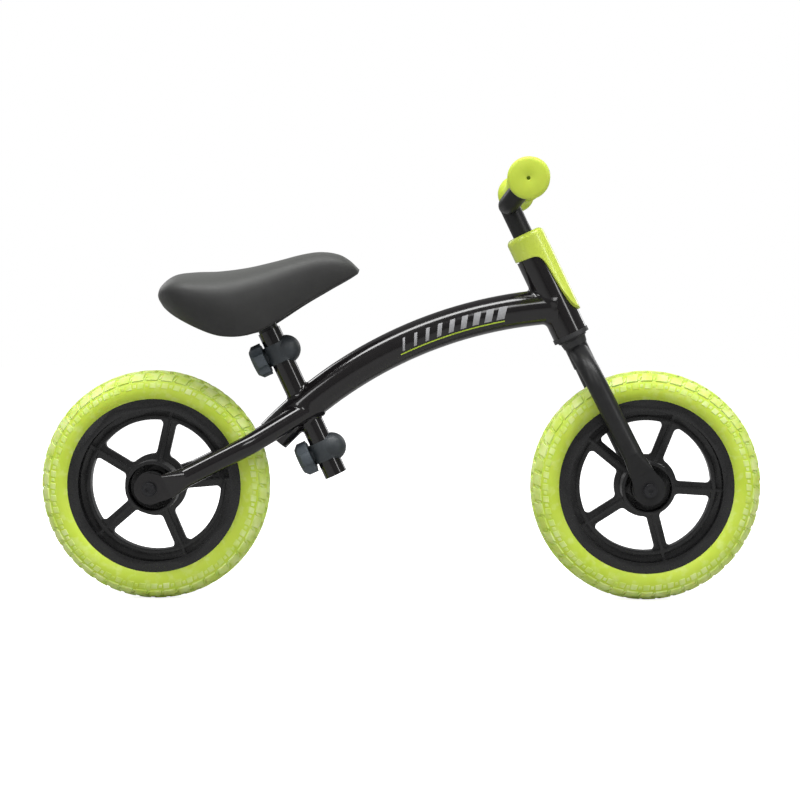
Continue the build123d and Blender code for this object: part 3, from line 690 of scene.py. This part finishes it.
# ---- grips ----
BAR_HEIGHT = 161.2 * MM  # crossbar above the bottom of the head tube
BAR_END = (21.5 * MM, 176.0 * MM, 11.8 * MM)  # forward, out and up from the stem
BAR_ARM = (31.6 * MM, 58.0 * MM, 16.0 * MM)
GRIP_STEPS, RIB_STEPS = 96, 64
GRIP_RIBS = 15
GRIP_RIB_STEP = 5.6 * MM
FIRST_RIB = 96.0 * MM  # in from the bar's end
# Millimetres, (radius, distance past the bar's end): flange, barrel, then the wide
# cap with a dished middle and a drain hole, and back along the bar.
GRIP_SKIN = [
    (11.2, -108.0), (19.8, -108.0), (21.0, -106.8), (21.0, -104.2), (19.8, -103.0),
    (16.6, -102.4), (15.2, -100.0), (15.0, -60.0), (15.2, -14.0), (16.0, -9.5),
    (19.6, -6.4), (21.4, -4.0), (21.7, -1.5), (21.6, 0.8), (21.0, 2.4), (19.8, 3.3),
    (18.0, 3.7), (12.0, 3.95), (3.4, 4.0), (2.2, 3.7), (1.9, 3.0), (1.8, -2.2),
    (0.0, -2.4), (0.0, -3.4), (11.2, -3.4),
]
GRIP_RIB = [
    (14.2, -1.7), (15.5, -1.5), (15.95, -0.9), (16.05, 0.0), (15.95, 0.9),
    (15.5, 1.5), (14.2, 1.7),
]


def bar_spot(place, side):
    """A point of the handlebar's route on one side of the bike."""
    forward, out, rise = place
    level = STEER_BASE + STEER_UP * (BAR_HEIGHT + rise)
    return level + forward_of(STEER_UP) * forward + LEFT * side * out


def grip(name, side):
    """Rubber grip: a flanged and capped skin, and the ribs round its barrel."""
    tip = bar_spot(BAR_END, side)
    out = (tip - bar_spot(BAR_ARM, side)).normalized()
    skin_name = f"{name}_grip_skin"
    skin = turned(skin_name, in_metres(GRIP_SKIN), tip, out, GRIP_STEPS)
    piece(skin_name, skin, "handlebar", "lime_rubber", f"{name}_grip", sharp=50)
    start = tip - out * FIRST_RIB
    rib = turned(f"{name}_rib", in_metres(GRIP_RIB), start, out, RIB_STEPS)
    values = {
        "Copies": GRIP_RIBS,
        "Step": tuple(out * GRIP_RIB_STEP),
        "Finish": FINISHES["lime_rubber"],
    }
    ribs = ROW.mesh(f"{name}_grip_ribs", rib, values)
    piece(f"{name}_grip_ribs", ribs, "handlebar", "lime_rubber", sharp=60)


for name, side in SIDES:
    grip(name, side)


# ---- saddle ----
# Millimetres along the saddle from the seat tube's axis, tail to nose, and the
# crown's and the skirt's height above the seat tube's end, or half the width.
SEAT_TOP = [
    (-94.6, 257.0), (-92.0, 264.0), (-84.0, 270.6), (-66.7, 274.0), (-46.0, 268.0),
    (-21.5, 257.7), (8.4, 248.2), (39.4, 241.6), (70.9, 235.7), (90.0, 229.5),
    (106.0, 219.0), (114.0, 208.0), (119.4, 194.5),
]
SEAT_UNDER = [
    (-94.6, 257.0), (-92.0, 247.0), (-83.9, 232.6), (-65.7, 210.0), (-50.5, 195.0),
    (-36.8, 186.5), (-22.8, 181.2), (-6.6, 178.6), (10.8, 179.9), (47.3, 184.9),
    (80.0, 187.9), (114.8, 191.0), (119.4, 194.5),
]
SEAT_HALF_WIDTH = [
    (-94.6, 0.0), (-93.2, 20.0), (-88.0, 36.0), (-76.0, 51.0), (-56.0, 60.5),
    (-34.0, 61.0), (-8.0, 54.0), (20.0, 44.0), (50.0, 35.0), (80.0, 28.0),
    (102.0, 21.5), (113.0, 14.0), (117.5, 8.0), (119.4, 0.0),
]
NOSE_START, NOSE_LENGTH = 10.0, 90.0
TAIL_START, TAIL_LENGTH = -30.0, 60.0
SHOULDER_DROP = 0.5  # widest line under the crown, as a share of the depth
TAIL_SHOULDER, NOSE_SHOULDER = 0.04, 0.1  # less of it at the tail, more at the nose
SKIRT_FOOT, NOSE_FOOT = 0.86, 0.06  # skirt's width at its lip, and more at the nose
PAN_TOP = 192.6  # the hollow clears the base pan
THINNEST_LIFT = 3.0
DEEPEST_HOLLOW = 0.4  # of the saddle's depth
SKIRT_LIP = 3.2
LIP_OF_WIDTH, LIP_OF_DEPTH = 0.2, 0.12
CROWN_ACROSS, CROWN_DOWN = 0.86, 0.72  # powers under 1 make a curve squarer
SKIRT_SWEEP = 1.6
HOLLOW_ACROSS, HOLLOW_UP = 0.4, 0.6
CROWN_STEPS, SKIRT_STEPS, LIP_STEPS, HOLLOW_STEPS = 22, 10, 6, 10
SADDLE_ROWS = 120


def smooth_value(points, at):
    """Height of a smooth line through a list of (x, y) points, at one x."""
    last = len(points) - 1
    index = 0
    while index < last - 1 and points[index + 1][0] < at:
        index += 1
    x0, y0 = points[index]
    x1, y1 = points[index + 1]
    share = min(max((at - x0) / (x1 - x0), 0.0), 1.0)

    def slope(spot):
        before, after = points[max(spot - 1, 0)], points[min(spot + 1, last)]
        return (after[1] - before[1]) / (after[0] - before[0])

    width = x1 - x0
    leave = share**3 - 2 * share**2 + share
    arrive = share**3 - share**2
    rise = 3 * share**2 - 2 * share**3
    level = y0 * (1 - rise) + y1 * rise
    return level + width * (leave * slope(index) + arrive * slope(index + 1))


def saddle_section(along):
    """Half a cross-section: crown, skirt, its lip, then the hollow to its middle."""
    top = smooth_value(SEAT_TOP, along)
    under = smooth_value(SEAT_UNDER, along)
    half = max(smooth_value(SEAT_HALF_WIDTH, along), 0.0)
    deep = max(top - under, 0.0)
    nose = min(max((along - NOSE_START) / NOSE_LENGTH, 0.0), 1.0)
    tail = min(max((TAIL_START - along) / TAIL_LENGTH, 0.0), 1.0)
    drop = SHOULDER_DROP - TAIL_SHOULDER * tail + NOSE_SHOULDER * nose
    shoulder = top - deep * drop
    lip = min(SKIRT_LIP, half * LIP_OF_WIDTH, deep * LIP_OF_DEPTH)
    foot = half * (SKIRT_FOOT + NOSE_FOOT * nose)
    lift = min(max(PAN_TOP - under, THINNEST_LIFT), deep * DEEPEST_HOLLOW)
    section = []
    for step in range(CROWN_STEPS):
        turn = pi / 2 * step / CROWN_STEPS
        rise = (top - shoulder) * cos(turn) ** CROWN_DOWN
        section.append((half * sin(turn) ** CROWN_ACROSS, shoulder + rise))
    for step in range(SKIRT_STEPS):
        share = step / SKIRT_STEPS
        across = half + (foot - half) * share**SKIRT_SWEEP
        section.append((across, shoulder + (under + lip - shoulder) * share))
    for step in range(LIP_STEPS):
        turn = pi * step / LIP_STEPS
        section.append((foot - lip + lip * cos(turn), under + lip - lip * sin(turn)))
    inner = foot - 2 * lip
    for step in range(HOLLOW_STEPS + 1):
        turn = pi / 2 * step / HOLLOW_STEPS
        rise = (lift - lip) * sin(turn) ** HOLLOW_UP
        section.append((inner * cos(turn) ** HOLLOW_ACROSS, under + lip + rise))
    return section


def saddle():
    """Moulded saddle: crowned top, deep skirts, hollow underneath round its pan."""
    forward = forward_of(SEAT_UP)
    start, end = SEAT_TOP[0][0], SEAT_TOP[-1][0]
    points = []
    for row in range(SADDLE_ROWS + 1):
        share = 0.5 - 0.5 * cos(pi * row / SADDLE_ROWS)  # closer rows at both ends
        along = start + (end - start) * share
        half = saddle_section(along)
        loop = half + [(-across, rise) for across, rise in reversed(half[1:-1])]
        for across, rise in loop:
            offset = forward * along + LEFT * across + SEAT_UP * rise
            points.append(SEAT_BASE + offset * MM)
    columns = len(points) // (SADDLE_ROWS + 1)
    faces = grid_faces(SADDLE_ROWS + 1, columns, wrap_columns=True)
    mesh = mesh_of("saddle", points, faces)
    made = piece("saddle", mesh, "seat", "seat_foam", "seat_cover", sharp=75)


saddle()


# ---- head cover ----
COVER_TOP = 125.3 * MM
COVER_ROUND = 6.0 * MM
COVER_WALL = 1.5 * MM
COVER_BACK = 20.6 * MM  # outside of the cover from the steering axis
COVER_FRONT = 22.4 * MM
COVER_SQUARENESS = 2.7  # of the front's outline, where 2 is round
COVER_LIP = 0.7 * MM
LIP_START = 0.2 * MM
COVER_CLEARANCE = 0.1 * MM  # round the head tube
STEM_HOLE = 11.7 * MM
# Its rounded edge in millimetres: (out from the hole, down from the top).
HOLE_EDGE = [(0.8, 0.0), (0.2, 0.3), (0.0, 0.9)]
COVER_ROWS, COVER_EDGE_STEPS, CORNER_STEPS = 40, 110, 6
INNER_SHOULDER = 3  # rows under the top where the wall keeps its thickness
SKIN_PER_DEGREE = 0.36  # millimetres
SPLINE_STEPS = 12
# Degrees from the front and height in millimetres, from the shield's tip to the back.
COVER_EDGE = [
    (0, 25.0), (14, 25.6), (27, 27.4), (38, 30.6), (46, 36.0), (52.5, 45.0),
    (57.5, 56.0), (61, 68.0), (63.5, 79.0), (67, 87.6), (73, 93.2), (82, 96.4),
    (97, 98.2), (125, 99.0), (155, 99.5), (180, 99.7),
]


def smooth_line(points):
    """A smooth line through a list of points, in short steps."""
    line = []
    last = len(points) - 1
    for index in range(last):
        before, here, there, after = (
            Vector(points[min(max(index + step, 0), last)]) for step in (-1, 0, 1, 2)
        )
        for step in range(SPLINE_STEPS):
            t = step / SPLINE_STEPS
            bend = (2 * before - 5 * here + 4 * there - after) * t**2
            twist = (3 * here - before - 3 * there + after) * t**3
            line.append(0.5 * (2 * here + (there - before) * t + bend + twist))
    line.append(Vector(points[-1]))
    return line


def evenly_along(points, count):
    """Points at even steps along a smooth line through a list of points."""
    line = smooth_line(points)
    reach = [0.0]
    for here, there in zip(line, line[1:]):
        reach.append(reach[-1] + (there - here).length)
    even = []
    spot = 0
    for step in range(count + 1):
        goal = reach[-1] * step / count
        while spot < len(line) - 2 and reach[spot + 1] < goal:
            spot += 1
        share = (goal - reach[spot]) / (reach[spot + 1] - reach[spot])
        even.append(line[spot].lerp(line[spot + 1], min(share, 1.0)))
    return even


def cover_skin(turn):
    """The cover's outside from the steering axis: round behind, squarer in front."""
    if cos(turn) <= 0:
        return COVER_BACK
    ahead = (cos(turn) / COVER_FRONT) ** COVER_SQUARENESS
    aside = (abs(sin(turn)) / COVER_BACK) ** COVER_SQUARENESS
    return (ahead + aside) ** (-1 / COVER_SQUARENESS)


def cover_loop(skin, low):
    """The wall's (radius, height) outline at one turn, up its outside and back."""
    inner = HEAD_TUBE_RADIUS + COVER_CLEARANCE
    under = COVER_TOP - COVER_WALL
    wall = COVER_TOP - COVER_ROUND - low - COVER_LIP
    heights = [
        low + COVER_LIP + wall * row / COVER_ROWS for row in range(COVER_ROWS + 1)
    ]
    loop = [(skin, height) for height in heights]
    for corner in range(1, CORNER_STEPS + 1):
        bend = pi / 2 * corner / CORNER_STEPS
        inward = COVER_ROUND * (1 - cos(bend))
        loop.append((skin - inward, COVER_TOP - COVER_ROUND * (1 - sin(bend))))
    loop += [(STEM_HOLE + out, COVER_TOP - down) for out, down in in_metres(HOLE_EDGE)]
    loop += [(STEM_HOLE, under), (skin - COVER_ROUND, under)]
    for height in reversed(heights[-INNER_SHOULDER:]):
        loop.append((max(inner, skin - COVER_WALL), height))
    loop += [(inner, height) for height in reversed(heights[:-INNER_SHOULDER])]
    loop += [(inner, low), (skin - COVER_LIP, low), (skin - LIP_START, low + LIP_START)]
    return loop


def head_cover():
    """Moulded cap over the head tube with a shield that runs down its front."""
    forward = forward_of(STEER_UP)
    line = [(degree * SKIN_PER_DEGREE, height) for degree, height in COVER_EDGE]
    half = evenly_along(line, COVER_EDGE_STEPS)
    edge = [(radians(spot.x / SKIN_PER_DEGREE), spot.y * MM) for spot in half]
    edge += [(-turn, height) for turn, height in reversed(edge[1:-1])]
    points = []
    for turn, low in edge:
        out = forward * cos(turn) + LEFT * sin(turn)
        for radius, height in cover_loop(cover_skin(turn), low):
            points.append(STEER_BASE + out * radius + STEER_UP * height)
    columns = len(points) // len(edge)
    faces = grid_faces(len(edge), columns, wrap_rows=True, wrap_columns=True)
    mesh = mesh_of("head_cover_shell", points, faces)
    piece("head_cover_shell", mesh, "frame", "lime_plastic", "head_cover", sharp=50)


head_cover()


# ---- edges broken on the small hard parts ----
for node, body, width in (
    ("upper_knob", "upper_clamp_knob", 1.0),
    ("lower_knob", "lower_clamp_knob", 1.0),
    ("upper_clamp_collar", "frame", 0.8),
    ("lower_clamp_collar", "frame", 0.8),
    ("rear_axle_bolts", "frame", 0.4),
    ("front_axle_bolts", "fork", 0.4),
):
    softened(node, body, width * MM)


# ---- welds ----
MAIN_JOINT = STEER_BASE + STEER_UP * HEAD_JOINT_HEIGHT
SEAT_CROSS = SEAT_BASE + SEAT_UP * SEAT_CROSS_HEIGHT
ARC_NORMAL = Vector((sin(MAIN_TUBE_RISE), 0, -cos(MAIN_TUBE_RISE)))
ARC_CHORD = SEAT_CROSS - MAIN_JOINT
ARC_RADIUS = ARC_CHORD.length_squared / (2 * ARC_NORMAL.dot(ARC_CHORD))
ARC_CENTRE = MAIN_JOINT + ARC_NORMAL * ARC_RADIUS

STAY_ROOT = (14.0 * MM, 3.0 * MM, 2.8 * MM)  # forward, out and up from SEAT_CROSS
# From the rear hub: distance to the stay's bend, the angle up to it, and out.
STAY_SHOULDER = (115.5 * MM, radians(23.5), 39.0 * MM)
MAIN_TUBE_TAIL = 45.4 * MM  # behind SEAT_CROSS
TAIL_WAY = Vector((0.86, 0, 0.5))
TAIL_FADE = 20 * MM
FADED_WELD = 0.05

WELD_STRIPS = 7  # points over a weld's hollow face
ROOT_DEPTH, ROOT_BACK = 0.3 * MM, 0.4 * MM  # its hidden corner, inside the tube
HALVINGS = 40  # far more than a float needs


def off_main_tube(point):
    """How far a point stands off the main tube's skin."""
    away = point - ARC_CENTRE
    return hypot(hypot(away.x, away.z) - ARC_RADIUS, away.y) - MAIN_TUBE_RADIUS


def off_head_tube(point):
    """How far a point stands off the head tube's skin."""
    away = point - STEER_BASE
    return (away - STEER_UP * away.dot(STEER_UP)).length - HEAD_TUBE_RADIUS


def on_main_tube(angle, size, along):
    """Point by its turn round the main tube and its distance behind the head."""
    turn = along / ARC_RADIUS
    start = MAIN_JOINT - ARC_CENTRE
    x = start.x * cos(turn) - start.z * sin(turn)
    z = start.x * sin(turn) + start.z * cos(turn)
    out = Vector((x, 0, z)).normalized()
    centre = ARC_CENTRE + out * (ARC_RADIUS + size * cos(angle))
    return centre + LEFT * (size * sin(angle))


def on_seat_tube(angle, size, along):
    """Point by its turn round the seat tube and its distance above SEAT_CROSS."""
    centre = SEAT_CROSS + SEAT_UP * along
    ahead = forward_of(SEAT_UP) * (size * cos(angle))
    return centre + ahead + LEFT * (size * sin(angle))


def stay_line(side):
    """Points on one rear stay's straight front run, and the run's length."""
    forward, out, rise = STAY_ROOT
    reach, angle, wide = STAY_SHOULDER
    root = SEAT_CROSS + Vector((forward, side * out, rise))
    shoulder = Vector((reach * cos(angle), side * wide, reach * sin(angle)))
    shoulder += HUBS["rear"]
    run = (shoulder - root).normalized()
    across = run.cross(LEFT).normalized()
    other = run.cross(across)

    def point(turn, size, along):
        out = across * (size * cos(turn)) + other * (size * sin(turn))
        return root + run * along + out

    return point, (shoulder - root).length


def before_the_tail(point):
    """Fades a stay's weld out where the main tube ends."""
    behind = (SEAT_CROSS - point).dot(TAIL_WAY)
    return min(max((MAIN_TUBE_TAIL - behind) / TAIL_FADE, FADED_WELD), 1.0)


def weld(name, tube_point, radius, distance, seams, far, reach, fade=None):
    """A smooth closed fillet round a tube where it comes out of another.

    tube_point(angle, size, along) is a point round the thinner tube's centreline,
    and distance(point) is how far a point stands off the other tube's skin. The
    thinner tube leaves the joint towards far, and fade(point) is the share of the
    weld's reach that is left there.
    """

    def meets(angle, size):
        """Where a line along the tube comes out of the other tube."""
        inside, outside = 0.0, far
        for _ in range(HALVINGS):
            middle = (inside + outside) / 2
            if distance(tube_point(angle, size, middle)) > 0:
                outside = middle
            else:
                inside = middle
        return (inside + outside) / 2

    way = 1 if far > 0 else -1
    points = []
    for seam in range(seams):
        angle = 2 * pi * seam / seams
        start = meets(angle, radius)
        root = tube_point(angle, radius - ROOT_DEPTH, start - way * ROOT_BACK)
        joint = tube_point(angle, radius, start)
        size = reach * (fade(joint) if fade else 1.0)
        on_tube = tube_point(angle, radius, start + way * size)
        on_other = tube_point(angle, radius + size, meets(angle, radius + size))
        for strip in range(WELD_STRIPS):
            t = strip / (WELD_STRIPS - 1)
            hollow = joint * 2 * t * (1 - t)
            points.append(on_tube * (1 - t) ** 2 + hollow + on_other * t * t)
        points.append(root)
    faces = grid_faces(seams, WELD_STRIPS + 1, wrap_rows=True, wrap_columns=True)
    piece(name, mesh_of(name, points, faces), "frame", "gloss_black_paint", sharp=70)


weld(
    "head_weld", on_main_tube, MAIN_TUBE_RADIUS, off_head_tube,
    seams=96, far=60 * MM, reach=4.6 * MM,
)
for name, way in (("upper", 1), ("lower", -1)):
    weld(
        f"{name}_seat_weld", on_seat_tube, SEAT_TUBE_RADIUS, off_main_tube,
        seams=72, far=way * 50 * MM, reach=3.2 * MM,
    )
for name, side in SIDES:
    on_stay, run_length = stay_line(side)
    weld(
        f"{name}_stay_weld", on_stay, STAY_RADIUS, off_main_tube,
        seams=96, far=run_length, reach=3.4 * MM, fade=before_the_tail,
    )


# ---- graphics ----
PRINT_START = 60 * MM  # behind the head joint
PRINT_LIFT = 0.12 * MM
PRINT_THICKNESS = 0.3 * MM
PRINT_STEPS, PRINT_RISE_STEPS = 10, 5
STRIPES = 9
STRIPE_STEP = 14.5 * MM
FIRST_STRIPE = 9.0 * MM  # its width
STRIPE_LOSS = 0.8 * MM  # each stripe is this much narrower than the one before
STRIPE_SLANT = -6 * MM
STRIPE_SPREAD = radians(20)  # up and down from the tube's flank
LINE_LENGTH = 122 * MM
LINE_LOW, LINE_HIGH = radians(-30), radians(-26)


def print_on_tube(name, side, begin, length, low, high, slant, finish):
    """A thin printed patch on a flank of the main tube, between two turns."""
    points = []
    for row in range(PRINT_RISE_STEPS + 1):
        share = row / PRINT_RISE_STEPS
        turn = side * (pi / 2 - (low + (high - low) * share))
        for column in range(PRINT_STEPS + 1):
            along = begin + length * column / PRINT_STEPS + slant * share
            points.append(on_main_tube(turn, MAIN_TUBE_RADIUS + PRINT_LIFT, along))
    mesh = mesh_of(name, points, grid_faces(PRINT_RISE_STEPS + 1, PRINT_STEPS + 1))
    work = bmesh.new()
    work.from_mesh(mesh)
    bmesh.ops.solidify(work, geom=work.faces[:], thickness=PRINT_THICKNESS)
    bmesh.ops.recalc_face_normals(work, faces=work.faces)
    work.to_mesh(mesh)
    work.free()
    piece(name, mesh, "frame", "gloss_black_paint", material=finish, sharp=60)


def tube_marks():
    """Slanted grey stripes and a thin lime line on both flanks of the main tube."""
    grey = printed("grey_print", (0.30, 0.30, 0.31), (0.36, 0.36, 0.37))
    lime = printed("lime_print", (0.5, 0.68, 0.04), (0.56, 0.73, 0.06))
    for label, side in SIDES:
        for index in range(STRIPES):
            begin = PRINT_START + STRIPE_STEP * index
            width = FIRST_STRIPE - STRIPE_LOSS * index
            print_on_tube(
                f"{label}_mark_{index}", side, begin, width,
                -STRIPE_SPREAD, STRIPE_SPREAD, STRIPE_SLANT, grey,
            )
        print_on_tube(
            f"{label}_lime_line", side, PRINT_START, LINE_LENGTH, LINE_LOW, LINE_HIGH,
            0.0, lime,
        )


tube_marks()


# ---- floor, light and camera ----
FLOOR_REACH = 6.0
FLOOR_GLOW = 0.82  # keeps the paper white up to the horizon
FLOOR_BOUNCE = 0.45  # how much light the paper gives back to the bike
PAPER_SHADES = (0.9, 0.915)
WHITE = (1.0, 1.0, 1.0, 1.0)
ROOM_LIGHT = 0.25
BACKDROP_LIGHT = 1.0
# Name, place, height above the floor's middle that it faces, width, height, watts.
SOFTBOXES = (
    ("overhead", (0.0, -0.5, 2.0), 0.2, 2.6, 0.45, 50),
    ("front_left", (-1.7, -1.9, 1.3), 0.25, 0.4, 1.2, 10),
    ("front_right", (1.9, -1.5, 1.0), 0.25, 0.3, 1.2, 9),
    ("front_key", (0.2, -2.2, 1.8), 0.2, 0.9, 0.5, 10),
    ("back_left", (-1.6, 2.0, 1.4), 0.25, 0.5, 1.2, 9),
    ("back_right", (1.5, 2.1, 1.2), 0.25, 0.5, 1.2, 9),
)
CAMERA_PLACE = (0.05, -2.15, 0.348)
CAMERA_AIM = (0.0, 0.0, 0.221)
CAMERA_LENS, CAMERA_SENSOR = 87.6, 36.0  # millimetres


def facing(place, aim):
    """The turn of a lamp or camera at a place that looks at a spot."""
    look = Vector(aim) - Vector(place)
    return look.to_track_quat("-Z", "Y").to_euler()


def floor():
    """A pale paper floor. Its glow reaches the camera only and lights nothing."""
    mesh = bpy.data.meshes.new("floor")
    corners = [(-1, -1), (1, -1), (1, 1), (-1, 1)]
    points = [(x * FLOOR_REACH, y * FLOOR_REACH, 0) for x, y in corners]
    mesh.from_pydata(points, [], [(0, 1, 2, 3)])
    pale = Finish("floor_paper")
    pale.settings(
        Roughness=0.9, Specular_IOR_Level=0.1, Emission_Strength=FLOOR_GLOW
    )
    seen = pale.node("ShaderNodeLightPath").outputs["Is Camera Ray"]
    paper = pale.drift(3, *PAPER_SHADES)
    pale.colour(pale.mixed(seen, (FLOOR_BOUNCE,) * 3, paper))
    glow = pale.ramp(seen, 0.0, 1.0, stops=(0.0, 1.0))
    pale.feed(pale.shader.inputs["Emission Color"], glow)
    mesh.materials.append(pale.material)
    placed("floor", mesh)


def room():
    """Soft light from all round, with a white backdrop that only the camera sees."""
    world = bpy.data.worlds.new("studio")
    bpy.context.scene.world = world
    world.use_nodes = True
    nodes, links = world.node_tree.nodes, world.node_tree.links
    light = nodes["Background"]
    backdrop = nodes.new("ShaderNodeBackground")
    for node, strength in ((light, ROOM_LIGHT), (backdrop, BACKDROP_LIGHT)):
        node.inputs["Color"].default_value = WHITE
        node.inputs["Strength"].default_value = strength
    rays = nodes.new("ShaderNodeLightPath")
    either = nodes.new("ShaderNodeMixShader")
    links.new(rays.outputs["Is Camera Ray"], either.inputs[0])
    links.new(light.outputs[0], either.inputs[1])
    links.new(backdrop.outputs[0], either.inputs[2])
    links.new(either.outputs[0], nodes["World Output"].inputs["Surface"])


def softbox(name, place, aim_height, wide, tall, watts):
    """A rectangular area lamp that faces the bike."""
    lamp = bpy.data.lights.new(name, "AREA")
    lamp.shape = "RECTANGLE"
    lamp.size = wide
    lamp.size_y = tall
    lamp.energy = watts
    box = placed(name, lamp)
    box.location = place
    box.rotation_euler = facing(place, (0, 0, aim_height))


def camera():
    """The camera, at the bike's right side."""
    lens = bpy.data.cameras.new("camera")
    lens.lens = CAMERA_LENS
    lens.sensor_width = CAMERA_SENSOR
    view = placed("camera", lens)
    view.location = CAMERA_PLACE
    view.rotation_euler = facing(CAMERA_PLACE, CAMERA_AIM)
    bpy.context.scene.camera = view


floor()
room()
for box in SOFTBOXES:
    softbox(*box)
camera()
bpy.context.scene.view_settings.view_transform = "Standard"
